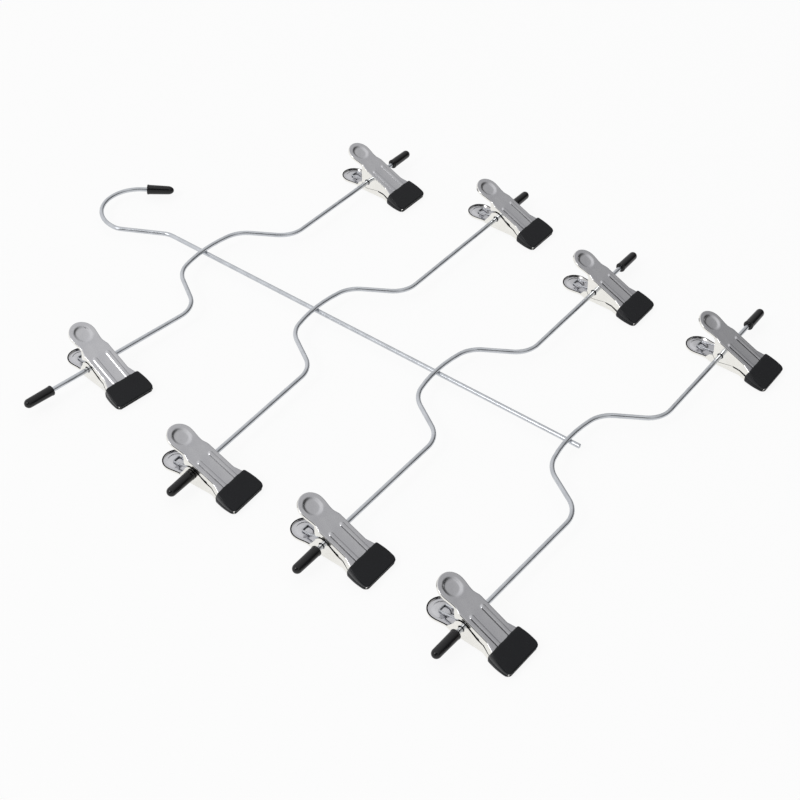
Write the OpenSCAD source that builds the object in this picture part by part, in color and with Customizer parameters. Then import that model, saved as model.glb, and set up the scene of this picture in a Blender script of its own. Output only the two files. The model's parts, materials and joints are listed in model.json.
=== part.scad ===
/* [Frame] */
// Diameter of the spine, hook and bar wire
wire_d = 3.1; // [2.6:0.1:3.6]
// Distance from one bar to the next
bar_pitch = 100; // [85:1:130]
// Width of a bar from one cap's nose to the other
bar_span = 381; // [350:1:420]
// Radius of the flat crest in the middle of a bar
crest_r = 100; // [80:1:130]
// Turn of the crest on each side of the spine, in degrees
crest_turn = 12; // [8:1:16]
// Radius of the bends between the crest and the slants
inner_bend_r = 22; // [16:1:30]
// Slope of the slants, in degrees
slant_turn = 57; // [48:1:64]
// Straight length of a slant
slant_len = 19; // [12:1:28]
// Radius of the bends between the slants and the arms
outer_bend_r = 20; // [14:1:28]
// Spine wire left beyond the last bar
spine_tail = 8; // [4:1:16]
// How deep the welded wires sink into each other
weld_sink = 0.3; // [0.1:0.05:0.6]
// Extra diameter of a bend, which the bending presses out of the wire
bend_swell = 0.02; // [0.01:0.01:0.1]
// How far a straight stretch runs into the bends beside it
bend_lap = 0.2; // [0.1:0.05:0.3]
// How far each bar's left arm is bent up toward the hook, in degrees
left_leans = [6.7, -2.3, 0, 2];

/* [Hook] */
// Straight wire from the first bar to the hook's first bend
hook_rise = 30; // [24:1:45]
// Radius of the bend that leads away from the spine
hook_out_r = 15; // [10:1:22]
// Turn of that bend, in degrees
hook_out_turn = 29.5; // [20:0.5:36]
// Straight length after that bend
hook_slant_len = 31; // [24:1:38]
// Radius of the bend that leads into the hook
hook_in_r = 10.5; // [8:0.5:16]
// Turn of that bend, in degrees
hook_in_turn = 25; // [15:0.5:30]
// Radius of the hook's main bow
hook_r = 26; // [20:0.5:32]
// Turn of the main bow, in degrees
hook_turn = 148; // [130:1:165]
// Straight wire at the end of the hook
hook_end_len = 20.8; // [20:0.1:30]

/* [Caps] */
// Length of a bar's cap
cap_len = 20.5; // [18:0.5:26]
// Diameter of a bar's cap at its open rim
cap_rim_d = 6.9; // [6.2:0.1:8]
// Diameter of a bar's cap behind the rim
cap_d = 6.5; // [5.8:0.1:7.5]
// Diameter of a bar's cap where the nose begins
cap_nose_d = 6.1; // [5.2:0.1:7]
// Length of the rounded nose of a bar's cap
cap_nose_len = 3.2; // [2:0.1:5]
// Length of the hook's cap
hook_cap_len = 19.4; // [17:0.1:20]
// Diameter of the hook's cap at its open rim
hook_cap_rim_d = 7.4; // [6.6:0.1:8.5]
// Diameter of the hook's cap behind the rim
hook_cap_d = 7; // [6.2:0.1:8]
// Diameter of the hook's cap where the nose begins
hook_cap_nose_d = 6.2; // [5.4:0.1:7]
// Length of the rounded nose of the hook's cap
hook_cap_nose_len = 4.4; // [3:0.1:6]
// Length of the rolled rim of a cap
cap_rim_len = 1.2; // [0.8:0.1:2]
// Thickness of a cap's closed end beyond the wire
cap_end_wall = 2.2; // [1.5:0.1:3]
// Play between a cap and the wire, all round
cap_play = 0.05; // [0.02:0.01:0.1]
// How far the second bar's right cap has slipped out
second_right_slip = 13.2; // [0:0.1:14]

/* [Clip levers] */
// Thickness of the pressed sheet
sheet = 0.8; // [0.6:0.05:1]
// Distance from the bar's axis to a lever's outer face
face_offset = 8.5; // [8:0.1:9.5]
// Length of a lever from the bar's axis to its jaw end
jaw_len = 35.4; // [32:0.2:42]
// Distance from the bar's axis to the middle of the round pad
pad_reach = 19.3; // [18:0.1:24]
// Radius of the round pad
pad_r = 9.1; // [8.7:0.1:10]
// Distance from the bar's axis to the waist
waist_reach = 10.6; // [9:0.1:12]
// Half width of a lever at the waist
waist_half = 8.2; // [7.9:0.1:9]
// Half width of a lever over the bar
body_half = 9.5; // [9.2:0.1:11]
// Where the full width begins on the pad's side of the bar
body_front = 5; // [4:0.1:7]
// Where the full width ends on the jaw's side of the bar
body_back = 15; // [13:0.1:17]
// Half width of a lever where the tip begins
flare_half = 11.5; // [11:0.1:12]
// Half width of a lever at its jaw end
jaw_half = 13.7; // [13:0.1:15]
// Depth of the rim round a lever
rim_depth = 1.6; // [1.4:0.1:2]
// Radius of the outer ears round the bar
ear_r = 5.2; // [4.8:0.1:5.6]
// Radius of the inner ears round the bar
inner_ear_r = 4.6; // [4:0.1:5]
// Where a flange leaves the rim for its shoulder, on the pad's side of the bar
shoulder_reach = 10.3; // [9.8:0.1:11]
// Distance from the bar's axis to the shoulder's corner
shoulder_corner = 7.8; // [7:0.1:8.4]
// Height of that corner above the bar's axis
shoulder_rise = 3.2; // [2.8:0.1:3.8]
// Angle round the bar where the shoulder over an outer ear ends, in degrees
shoulder_turn = 22; // [16:1:30]
// Angle round the bar where the shoulder that carries an outer ear ends, in degrees
neck_turn = -10; // [-16:1:0]
// Diameter of the holes in the ears
hole_d = 4.4; // [4.2:0.1:5.4]
// Gap between the outer ears and the lever inside them
ear_gap = 0.3; // [0.2:0.05:0.4]
// Distance from the bar's axis to the kink in the side seam
seam_reach = 10.8; // [9:0.1:12]
// Height of that kink above the clip's middle plane
seam_rise = 1.1; // [0.8:0.1:2]
// Half of the gap between the closed jaws
jaw_gap = 0.05; // [0.02:0.01:0.2]

/* [Pressed details] */
// Radius of the pad's dimple at its rim
dimple_r = 6.25; // [5:0.05:7]
// Depth of the dimple
dimple_depth = 0.9; // [0.5:0.05:1.1]
// How much the dimple narrows toward its floor
dimple_slope = 1.1; // [0.6:0.1:2]
// Distance of a rib from a lever's middle line
rib_place = 5; // [4.6:0.1:5.4]
// Width of a rib
rib_w = 3.3; // [2.8:0.1:3.8]
// Height of a rib
rib_h = 0.6; // [0.4:0.05:0.65]
// Where a rib begins on the pad's side of the bar
rib_start = 1.6; // [0:0.1:3]
// Length of a rib under the tip
rib_under_tip = 4; // [2:0.5:8]

/* [Tips] */
// Distance from the bar's axis to a tip's open edge
tip_reach = 20.4; // [19:0.1:22]
// Thickness of a tip over the lever's face
tip_wall = 0.7; // [0.65:0.05:1]
// Thickness of a tip inside the jaw
tip_inner_wall = 0.3; // [0.2:0.05:0.6]
// Half width of a tip at its open edge
tip_back_half = 12.7; // [12.4:0.1:13.5]
// Half width of a tip at the jaw end
tip_front_half = 14.4; // [14.2:0.1:16]
// Radius of a tip's corners
tip_corner_r = 2; // [1:0.1:3]

/* [Spring] */
// Diameter of the spring's wire
spring_wire = 1.1; // [0.8:0.05:1.2]
// Radius of the coils, to the middle of the wire
spring_r = 2.55; // [2.4:0.05:3]
// Advance of the coils for each turn
spring_pitch = 1.55; // [1.52:0.01:1.6]
// Whole turns in each coil
spring_turns = 2; // [1:1:2]
// Distance from the clip's middle to the start of each coil
spring_start = 3; // [2.6:0.1:3.1]
// Distance from the bar's axis to the spring's cross piece
spring_reach = 20; // [17:0.1:21]
// Distance from the bar's axis to the end of each leg
spring_leg = 14; // [12:0.1:15]
// Radius of the corners of the cross piece
spring_bend_r = 1.5; // [1:0.1:2]
// Gap between the spring and a lever
spring_gap = 0.1; // [0.05:0.05:0.3]

/* [Clip places] */
// Gap between each left clip and its cap, from the first bar to the last
left_gaps = [28, 0.3, 4.4, 4.6]; // [0.3:0.1:60]
// Gap between each right clip and its cap, from the first bar to the last
right_gaps = [11.9, 2.2, 17.2, 21.4]; // [0.3:0.1:60]
// Right clips that are threaded with their outer ears on the front lever
right_turned_over = [true, false, true, true];

/* [Hidden] */
SIDES = ["left", "right"];
BARS = [1, 2, 3, 4];
CLIP_PIECES = ["front_lever", "back_lever", "front_tip", "back_tip", "spring"];

$fn = 48;
// One overrun for every cut
cut = 1;
quarter_turn = 90;
half_turn = 180;
full_turn = 360;

// The clip's levers meet at the jaw, so their tilt follows from their sizes
inner_face = face_offset - sheet;
lever_tilt = atan(inner_face / jaw_len) - asin(tip_inner_wall / norm([inner_face, jaw_len]));
// The back tips' flat faces lie on the floor
bar_z = face_offset + tip_wall;
spine_z = bar_z - wire_d + weld_sink;

// A wire is a list of steps: [length] runs straight, [radius, turn] bends to the left
spine_below = (len(BARS) - 1) * bar_pitch + spine_tail;
hook_start_steps = [
    [spine_below + hook_rise],
    [hook_out_r, hook_out_turn],
    [hook_slant_len],
    [hook_in_r, -hook_in_turn],
    [bend_lap]
];
spine_steps = concat(hook_start_steps, [[hook_r, -hook_turn], [hook_end_len]]);
function hump_steps(lean) = [
    [bend_lap],
    [crest_r, -crest_turn],
    [bend_lap],
    [inner_bend_r, crest_turn - slant_turn],
    [slant_len],
    [outer_bend_r, slant_turn + lean]
];

// Where a wire ends: x, y and heading
function step_end(at, step) = len(step) == 1
    ? [at[0] + step[0] * cos(at[2]), at[1] + step[0] * sin(at[2]), at[2]]
    : [
        at[0] + sign(step[1]) * step[0] * (sin(at[2] + step[1]) - sin(at[2])),
        at[1] - sign(step[1]) * step[0] * (cos(at[2] + step[1]) - cos(at[2])),
        at[2] + step[1]
    ];
function run_end(steps, at = [0, 0, 0], i = 0) =
    i == len(steps) ? at : run_end(steps, step_end(at, steps[i]), i + 1);

function lean_of(n, side) = side == "left" ? left_leans[n - 1] : 0;
function slip_of(n, side) = n == 2 && side == "right" ? second_right_slip : 0;
function gap_of(n, side) = side == "left" ? left_gaps[n - 1] : right_gaps[n - 1];

// All bars are cut to one length, so a leaning arm is shorter by what its bend takes
arm_start = run_end(hump_steps(0));
function arm_len(n, side) = bar_span / 2 - cap_end_wall - arm_start[0]
    - outer_bend_r * lean_of(n, side) * PI / half_turn;
function cap_place(n, side) = arm_len(n, side) + cap_end_wall - cap_len + slip_of(n, side);
function clip_place(n, side) = cap_place(n, side) - gap_of(n, side) - body_half;

// The origin is the middle of the object's outline on the floor
hook_bow = run_end(hook_start_steps, [0, -spine_below, quarter_turn]);
hook_top = hook_bow[1] - hook_r * cos(hook_bow[2]) + hook_r + wire_d / 2;
front_tip_reach = (jaw_len + tip_wall) * cos(2 * lever_tilt) + bar_z * sin(2 * lever_tilt);
jaw_bottom = arm_start[1] - (len(BARS) - 1) * bar_pitch - front_tip_reach;
centre = [second_right_slip / 2, (hook_top + jaw_bottom) / 2];

// Puts a bar's own frame in place: the crest at the spine, the arms to the sides
module on_bar(n, z = bar_z) {
    translate([-centre[0], -centre[1] - (n - 1) * bar_pitch, z]) children();
}

// Puts children at a distance along an arm, with X pointing away from the spine
module on_arm(n, side, distance) {
    start = run_end(hump_steps(lean_of(n, side)));
    on_bar(n)
        mirror([side == "left" ? 1 : 0, 0, 0])
            translate([start[0], start[1], 0])
                rotate([0, 0, start[2]])
                    translate([distance, 0, 0]) children();
}

// One wire of round section, from the origin toward +X
module wire_run(steps, d, i = 0) {
    if (i < len(steps)) {
        step = steps[i];
        if (len(step) == 1) {
            before = i > 0 ? bend_lap : 0;
            after = i + 1 < len(steps) ? bend_lap : 0;
            translate([-before, 0, 0])
                rotate([0, quarter_turn, 0]) cylinder(d = d, h = before + step[0] + after);
            translate([step[0], 0, 0]) wire_run(steps, d, i + 1);
        } else {
            side = sign(step[1]);
            translate([0, side * step[0], 0]) {
                rotate([0, 0, side > 0 ? -quarter_turn : quarter_turn + step[1]])
                    rotate_extrude(angle = abs(step[1]))
                        translate([step[0], 0]) circle(d = d + bend_swell);
                rotate([0, 0, step[1]])
                    translate([0, -side * step[0], 0]) wire_run(steps, d, i + 1);
            }
        }
    }
}

// Dipped cap along +X, open at the origin
module cap(length, rim_d, body_d, nose_d, nose_len) {
    bore_r = wire_d / 2 + cap_play;
    rim_steps = [for (a = [half_turn : -half_turn / 6 : 0]) a];
    nose_steps = [for (a = [0 : quarter_turn / 6 : quarter_turn]) a];
    rim_bulge = (rim_d - body_d) / 2;
    outline = concat(
        [[bore_r, 0], [body_d / 2, 0]],
        [for (a = rim_steps) [body_d / 2 + rim_bulge * sin(a), cap_rim_len * (1 + cos(a)) / 2]],
        [for (a = nose_steps) [nose_d / 2 * cos(a), length - nose_len + nose_len * sin(a)]],
        [[0, length - cap_end_wall], [bore_r, length - cap_end_wall]]
    );
    color("#242426") rotate([0, quarter_turn, 0]) rotate_extrude() polygon(outline);
}

module spine_wire() {
    color("#b9bbbe")
        on_bar(len(BARS), spine_z)
            translate([0, -spine_tail, 0])
                rotate([0, 0, quarter_turn]) wire_run(spine_steps, wire_d);
}

module hook_cap() {
    end = run_end(spine_steps, [0, -spine_tail, quarter_turn]);
    on_bar(len(BARS), spine_z)
        translate([end[0], end[1], 0])
            rotate([0, 0, end[2]])
                translate([cap_end_wall - hook_cap_len, 0, 0])
                    cap(hook_cap_len, hook_cap_rim_d, hook_cap_d, hook_cap_nose_d, hook_cap_nose_len);
}

module cross_bar(n) {
    color("#b9bbbe")
        on_bar(n) {
            rotate([0, quarter_turn, 0]) cylinder(d = wire_d, h = 4 * bend_lap, center = true);
            for (side = SIDES)
                mirror([side == "left" ? 1 : 0, 0, 0])
                    translate([bend_lap, 0, 0])
                        wire_run(concat(hump_steps(lean_of(n, side)), [[arm_len(n, side)]]), wire_d, 1);
        }
}

module end_cap(n, side) {
    on_arm(n, side, cap_place(n, side))
        cap(cap_len, cap_rim_d, cap_d, cap_nose_d, cap_nose_len);
}

// A lever's half width at a distance along it, toward the pad
function eased(share) = (1 - cos(half_turn * share)) / 2;
function between(at, from, to) = (at - from) / (to - from);
function lever_half(at) =
    at > waist_reach ? waist_half
        + (pad_r - waist_half) * eased(between(at, waist_reach, pad_reach))
    : at > body_front ? waist_half
        + (body_half - waist_half) * eased(between(at, waist_reach, body_front))
    : at > -body_back ? body_half
    : at > -tip_reach ? body_half
        + (flare_half - body_half) * between(at, -body_back, -tip_reach)
    : flare_half + (jaw_half - flare_half) * between(at, -tip_reach, -jaw_len);

// A lever seen from above, drawn in by an inset all round but at the jaw end
module lever_outline(inset) {
    ease_shares = [for (k = [1 : 5]) k / 6];
    places = concat(
        [pad_reach],
        [for (k = ease_shares) pad_reach + (waist_reach - pad_reach) * k],
        [waist_reach],
        [for (k = ease_shares) waist_reach + (body_front - waist_reach) * k],
        [body_front, -body_back, -tip_reach, -jaw_len]
    );
    right = [for (at = places) [lever_half(at) - inset, at]];
    left = [for (i = [len(right) - 1 : -1 : 0]) [-right[i][0], right[i][1]]];
    polygon(concat(right, left));
    translate([0, pad_reach]) circle(pad_r - inset);
}

// Extrudes a side view, drawn as distance along and height, across the clip
module across(width) {
    rotate([quarter_turn, 0, quarter_turn]) linear_extrude(width, center = true) children();
}

function polar(r, a) = [r * cos(a), r * sin(a)];
// Angle at which a line from an outside point touches a circle round the bar
function touch_angle(p, r, side) = atan2(p[1], p[0]) + side * acos(r / norm(p));

// The seam between the levers, seen from the side in the clip's middle plane
jaw_clear = jaw_len / cos(lever_tilt) + cut;
seam_tip = [-tip_reach / cos(lever_tilt), tip_inner_wall];
seam_jaw = [-jaw_clear, tip_inner_wall];
side_far = face_offset + jaw_clear;

// The part of a side flange that reaches from the bar to the rim, down to a last point
module shoulder(last) {
    polygon([[0, 0], [0, face_offset], [shoulder_reach, face_offset],
        [shoulder_reach, face_offset - rim_depth], [shoulder_corner, shoulder_rise], last]);
}

// Side flange of the lever with inner ears: a rim all round, deeper toward the jaw
module inner_eared_flange() {
    reach = ear_r + ear_gap;
    kink = [-seam_reach, seam_rise + ear_gap];
    touch = polar(reach, touch_angle(kink, reach, -1));
    difference() {
        union() {
            translate([-tip_reach, face_offset - rim_depth])
                square([tip_reach + pad_reach + pad_r + cut, rim_depth + cut]);
            shoulder(polar(reach, shoulder_turn));
            rotate(-lever_tilt)
                polygon([seam_tip, seam_jaw, [-jaw_clear, side_far], [0, side_far], [0, reach], touch, kink]);
        }
        circle(reach);
    }
}

// Side flange of the other lever, which carries the outer ears
module outer_eared_flange() {
    kink = [-seam_reach, -seam_rise];
    touch = polar(ear_r, touch_angle(kink, ear_r, 1));
    difference() {
        union() {
            translate([-tip_reach, face_offset - rim_depth])
                square([tip_reach + pad_reach + pad_r + cut, rim_depth + cut]);
            circle(ear_r);
            shoulder(polar(ear_r, neck_turn));
            rotate(-lever_tilt)
                polygon([seam_tip, seam_jaw, [-jaw_clear, side_far], [0, side_far], [0, 0], touch, kink]);
        }
        circle(d = hole_d);
    }
}

rib_r = (rib_w * rib_w / 4 + rib_h * rib_h) / (2 * rib_h);
rib_n = face_offset + rib_h - rib_r;

// A pair of round ended ribs along a lever
module rib_pair(r) {
    first = rib_start - rib_w / 2;
    last = -tip_reach - rib_under_tip;
    for (side = [-1, 1])
        translate([side * rib_place, last, rib_n]) {
            rotate([-quarter_turn, 0, 0]) cylinder(r = r, h = first - last);
            sphere(r);
            translate([0, first - last, 0]) sphere(r);
        }
}

// A lever's face: flat sheet with a dimpled pad and two raised ribs
module lever_face() {
    difference() {
        union() {
            translate([0, 0, inner_face]) linear_extrude(sheet) lever_outline(0);
            translate([0, pad_reach, inner_face - dimple_depth])
                cylinder(r1 = dimple_r, r2 = dimple_r + dimple_slope, h = dimple_depth);
            intersection() {
                rib_pair(rib_r);
                translate([0, 0, inner_face]) linear_extrude(sheet + rib_h + cut) lever_outline(0);
            }
        }
        translate([0, pad_reach, face_offset - dimple_depth])
            cylinder(r1 = dimple_r - dimple_slope, r2 = dimple_r, h = dimple_depth);
        rib_pair(rib_r - sheet);
    }
}

// A lever's bent side wall, as deep as the side view under it says
module lever_wall() {
    intersection() {
        translate([0, 0, -face_offset])
            linear_extrude(2 * face_offset)
                difference() {
                    lever_outline(0);
                    lever_outline(sheet);
                }
        across(2 * tip_front_half) children();
    }
}

// Ears that turn inside the other lever's
module inner_ears() {
    ear_out = body_half - sheet - ear_gap;
    for (side = [-1, 1])
        translate([side * (ear_out - sheet / 2), 0, 0])
            across(sheet)
                difference() {
                    union() {
                        circle(inner_ear_r);
                        translate([-inner_ear_r, 0]) square([2 * inner_ear_r, inner_face + sheet / 2]);
                    }
                    circle(d = hole_d);
                }
}

// A lever with its outer ears or its inner ones
module lever(outer_eared) {
    lever_face();
    if (outer_eared) {
        lever_wall() outer_eared_flange();
    } else {
        lever_wall() inner_eared_flange();
        inner_ears();
    }
}

// A tip seen from above
module tip_outline() {
    corner = [tip_front_half - tip_corner_r, tip_corner_r - jaw_len - tip_wall];
    right = concat(
        [[tip_back_half, -tip_reach]],
        [for (a = [0 : -quarter_turn / 6 : -quarter_turn]) corner + polar(tip_corner_r, a)]
    );
    left = [for (i = [len(right) - 1 : -1 : 0]) [-right[i][0], right[i][1]]];
    polygon(concat(right, left));
}

// A tip fills its side of the closed jaw and takes in the lever under it
module jaw_tip() {
    difference() {
        intersection() {
            translate([0, 0, -face_offset])
                linear_extrude(2 * face_offset + tip_wall) tip_outline();
            across(2 * tip_front_half + cut)
                rotate(-lever_tilt) translate([-2 * jaw_clear, jaw_gap]) square([2 * jaw_clear, side_far]);
        }
        children();
    }
}

// Points of the spring: across the clip, along its middle plane, and above it
bight_n = inner_face - dimple_depth - spring_gap - spring_wire / 2;
bight = [
    spring_reach * cos(lever_tilt) - bight_n * sin(lever_tilt),
    -spring_reach * sin(lever_tilt) - bight_n * cos(lever_tilt)
];
leg_n = inner_face - spring_gap - spring_wire / 2;
leg_end = [
    spring_leg * cos(lever_tilt) - leg_n * sin(lever_tilt),
    spring_leg * sin(lever_tilt) + leg_n * cos(lever_tilt)
];
coil_from = touch_angle(bight, spring_r, -1);
coil_to = touch_angle(leg_end, spring_r, 1);
coil_sweep = full_turn * (spring_turns + 1) + coil_from - coil_to;
coil_rings = 8;
coil_steps = round(coil_rings * coil_sweep / full_turn);
spring_end = spring_start + spring_pitch * coil_sweep / full_turn;
arm_in = polar(spring_r, coil_from);
arm_dir = (arm_in - bight) / norm(arm_in - bight);
leg_out = polar(spring_r, coil_to);
leg_dir = (leg_end - leg_out) / norm(leg_end - leg_out);

function arm_point(u, distance) = concat([u], bight + arm_dir * distance);
spring_half = concat(
    [for (a = [quarter_turn / 6 : quarter_turn / 3 : quarter_turn])
        arm_point(spring_start - spring_bend_r * (1 - sin(a)), spring_bend_r * (1 - cos(a)))],
    [arm_point(spring_start, spring_bend_r + spring_wire)],
    [arm_point(spring_start, norm(arm_in - bight) - spring_wire)],
    [for (k = [0 : coil_steps]) let (share = k / coil_steps)
        concat([spring_start + (spring_end - spring_start) * share],
            polar(spring_r, coil_from - coil_sweep * share))],
    [concat([spring_end], leg_out + leg_dir * spring_wire)],
    [concat([spring_end], leg_end - leg_dir * spring_wire), concat([spring_end], leg_end)]
);
function mirrored(p) = [-p[0], p[1], p[2]];
spring_path = concat(
    [for (i = [len(spring_half) - 1 : -1 : 0]) mirrored(spring_half[i])],
    [arm_point(0, 0)],
    spring_half
);

// A round tube along a path, with rings that don't twist
tube_sides = 6;
function unit(v) = v / norm(v);
function heading(path, i) = unit(path[min(i + 1, len(path) - 1)] - path[max(i - 1, 0)]);
function square_to(v, along) = unit(v - (v * along) * along);
function normals(path) = [
    for (i = 0, v = square_to([0, 0, 1], heading(path, 0));
        i < len(path);
        i = i + 1, v = square_to(v, heading(path, min(i, len(path) - 1)))) v
];
module tube(path, d) {
    last = len(path) - 1;
    up = normals(path);
    points = [for (i = [0 : last], k = [0 : tube_sides - 1])
        let (a = full_turn * k / tube_sides, out = cross(heading(path, i), up[i]))
        path[i] + d / 2 * (cos(a) * up[i] + sin(a) * out)];
    sides = [for (i = [0 : last - 1], k = [0 : tube_sides - 1])
        let (a = i * tube_sides + k, b = i * tube_sides + (k + 1) % tube_sides)
        each [[a, b + tube_sides, b], [a, a + tube_sides, b + tube_sides]]];
    ends = [for (k = [1 : tube_sides - 2])
        each [[0, k, k + 1], [last * tube_sides, last * tube_sides + k + 1, last * tube_sides + k]]];
    polyhedron(points, concat(sides, ends));
}

// Least gap between turns of the spring, measured on its points
function turn_gap(path, d) = min([for (i = [0 : len(path) - 1], j = [i + coil_rings / 2 : 1 : len(path) - 1])
    norm(path[i] - path[j]) - d]);
echo(spring_least_gap = turn_gap(spring_path, spring_wire));

function turned_over(n, side) = side == "right" && right_turned_over[n - 1];

// Puts a clip's piece in place, with Y in the clip's middle plane
module in_clip(n, side) {
    on_arm(n, side, clip_place(n, side)) rotate([lever_tilt, 0, 0]) children();
}

module front_side() {
    rotate([lever_tilt, 0, 0]) children();
}

module back_side() {
    mirror([0, 0, 1]) rotate([lever_tilt, 0, 0]) children();
}

module clip_piece(n, side, piece) {
    turned = turned_over(n, side);
    in_clip(n, side) {
        if (piece == "front_lever") color("#a5a5a9") front_side() lever(turned);
        if (piece == "back_lever") color("#b4b4b8") back_side() lever(!turned);
        if (piece == "front_tip") color("#2a2b2d") front_side() jaw_tip() lever(turned);
        if (piece == "back_tip") color("#2a2b2d") back_side() jaw_tip() lever(!turned);
        if (piece == "spring") color("#8e9094") tube(spring_path, spring_wire);
    }
}

spine_wire();
hook_cap();
for (n = BARS) {
    cross_bar(n);
    for (side = SIDES) {
        end_cap(n, side);
        for (piece = CLIP_PIECES)
            clip_piece(n, side, piece);
    }
}
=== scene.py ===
# %% [markdown]
# # A tiered trouser hanger
# The real object is bent and welded wire with eight spring clips on it. Everything here is
# metal or dipped vinyl, so the looks are made of thin rounded edges and soft reflections.
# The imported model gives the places: this script only dresses it.

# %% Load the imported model
import json
import math
from math import acos, asin, atan, atan2, cos, degrees, pi, radians, sin, sqrt

import bmesh
import bpy
from mathutils import Matrix, Vector


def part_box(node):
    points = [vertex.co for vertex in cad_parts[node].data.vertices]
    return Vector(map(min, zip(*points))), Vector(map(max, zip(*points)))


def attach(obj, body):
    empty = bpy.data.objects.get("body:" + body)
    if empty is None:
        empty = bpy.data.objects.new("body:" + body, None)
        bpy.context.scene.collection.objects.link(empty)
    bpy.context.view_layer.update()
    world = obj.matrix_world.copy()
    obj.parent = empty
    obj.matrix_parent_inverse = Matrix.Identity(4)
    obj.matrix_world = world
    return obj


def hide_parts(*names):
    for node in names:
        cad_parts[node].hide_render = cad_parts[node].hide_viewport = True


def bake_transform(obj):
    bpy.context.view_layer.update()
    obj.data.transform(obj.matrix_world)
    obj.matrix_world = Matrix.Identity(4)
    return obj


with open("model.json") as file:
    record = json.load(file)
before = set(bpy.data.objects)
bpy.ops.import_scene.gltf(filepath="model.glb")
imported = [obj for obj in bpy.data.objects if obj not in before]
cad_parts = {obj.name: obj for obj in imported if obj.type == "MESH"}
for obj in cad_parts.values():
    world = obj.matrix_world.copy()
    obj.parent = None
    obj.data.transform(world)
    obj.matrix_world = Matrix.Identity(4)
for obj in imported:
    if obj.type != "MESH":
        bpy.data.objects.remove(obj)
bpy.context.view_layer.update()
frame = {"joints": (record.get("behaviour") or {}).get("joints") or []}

# %% [markdown]
# The sizes are the object's own, in millimetres. They repeat the sizes that the solids were
# made from, because a dressed piece has to sit where its solid sits. Only small forms differ:
# the roundings and half width of the tips, the section and hidden ends of the ribs, the slope
# of the dimple, the opening of the seam, and the weld lumps, which the solids don't have.

# %% Sizes of the wire frame
MM = 0.001
WIRE = 3.1
BEND_LAP = 0.2
CREST_R, CREST_TURN = 100, 12
INNER_R, SLANT_TURN, SLANT = 22, 57, 19
OUTER_R = 20
BAR_SPAN, BAR_PITCH = 381, 100
SPINE_TAIL, HOOK_RISE = 8, 30
HOOK_OUT_R, HOOK_OUT_TURN, HOOK_SLANT = 15, 29.5, 31
HOOK_IN_R, HOOK_IN_TURN = 10.5, 25
HOOK_R, HOOK_TURN, HOOK_END = 26, 148, 20.8
LEFT_LEANS = {1: 6.7, 2: -2.3, 3: 0, 4: 2}
SECOND_RIGHT_SLIP = 13.2
CAP_END_WALL = 2.2
SIDES = {"left": -1, "right": 1}

# %% Sizes of a clip
SHEET = 0.8
FACE = 8.5
JAW = 35.4
PAD_REACH, PAD_R = 19.3, 9.1
WAIST_REACH, WAIST_HALF = 10.6, 8.2
BODY_HALF, BODY_FRONT, BODY_BACK = 9.5, 5, 15
FLARE_HALF, JAW_HALF = 11.5, 13.7
RIM_DEPTH = 1.6
EAR_R, INNER_EAR_R, EAR_HOLE, EAR_GAP = 5.2, 4.6, 4.4, 0.3
SHOULDER_REACH, SHOULDER_CORNER, SHOULDER_TURN, NECK_TURN = 10.3, (7.8, 3.2), 22, -10
SEAM_REACH, SEAM_RISE = 10.8, 1.1
DIMPLE_R, DIMPLE_DEPTH = 6.25, 0.9
RIB_PLACE, RIB_W, RIB_START = 5, 3.3, 1.6
TIP_REACH, TIP_WALL, TIP_INNER = 20.4, 0.7, 0.3
TIP_BACK_HALF, TIP_FRONT_HALF, TIP_CORNER = 12.7, 14.2, 3.2
JAW_GAP = 0.05
INNER_FACE = FACE - SHEET
TILT = degrees(atan(INNER_FACE / JAW) - asin(TIP_INNER / math.hypot(INNER_FACE, JAW)))
print("lever tilt:", round(TILT, 3), "degrees")

# %% [markdown]
# ## Where things are
# The clips' places come from the joints: each opening hinge lies on the bar's axis, and its
# axis points along the bar. The bars' places come from the boxes of their solids.

# %% Places from the frame
CLIPS = {}
for joint in frame["joints"]:
    if joint["name"].endswith("_open"):
        across = -Vector(joint["axis"]).normalized()
        up = Vector((0, 0, 1))
        turn = Matrix((across, up.cross(across), up)).transposed().to_4x4()
        CLIPS[joint["name"][: -len("_open")]] = Matrix.Translation(Vector(joint["pos_m"])) @ turn

spine_low, spine_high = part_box("spine_wire")
spine_x = (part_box("cross_bar_4")[0].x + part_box("cross_bar_4")[1].x) / 2
crest_y = {n: spine_low.y + (SPINE_TAIL + (4 - n) * BAR_PITCH) * MM for n in range(1, 5)}
bar_z = (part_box("cross_bar_4")[0].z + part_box("cross_bar_4")[1].z) / 2
spine_z = (spine_low.z + spine_high.z) / 2
print("clips:", sorted(CLIPS), "spine at", round(spine_x, 5))

# %% [markdown]
# ## The camera
# A product picture of a long flat thing is taken from a corner with a short telephoto lens.
# Its direction and distance were worked out from the even spacing of the bars.

# %% Camera
LENS_PX = 1520.9
FRAME_PX = 800
SENSOR = 36
CAMERA_FROM_CREST = Vector((-623.6, -594.8, 645.7)) * MM
CAMERA_FORWARD = Vector((0.6110, 0.4141, -0.6746)).normalized()
CAMERA_UP = Vector((0.5236, 0.4277, 0.7368))

lens = bpy.data.cameras.new("photo_camera")
lens.sensor_width = SENSOR
lens.lens = LENS_PX * SENSOR / FRAME_PX
lens.clip_start = 0.05
lens.clip_end = 50
camera = bpy.data.objects.new("photo_camera", lens)
bpy.context.scene.collection.objects.link(camera)
side = CAMERA_FORWARD.cross(CAMERA_UP).normalized()
level = side.cross(CAMERA_FORWARD)
turn = Matrix((side, level, -CAMERA_FORWARD)).transposed().to_4x4()
spot = Vector((spine_x, crest_y[1], bar_z)) + CAMERA_FROM_CREST
camera.matrix_world = Matrix.Translation(spot) @ turn
bpy.context.scene.camera = camera
print("lens:", round(lens.lens, 2), "mm")

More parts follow.
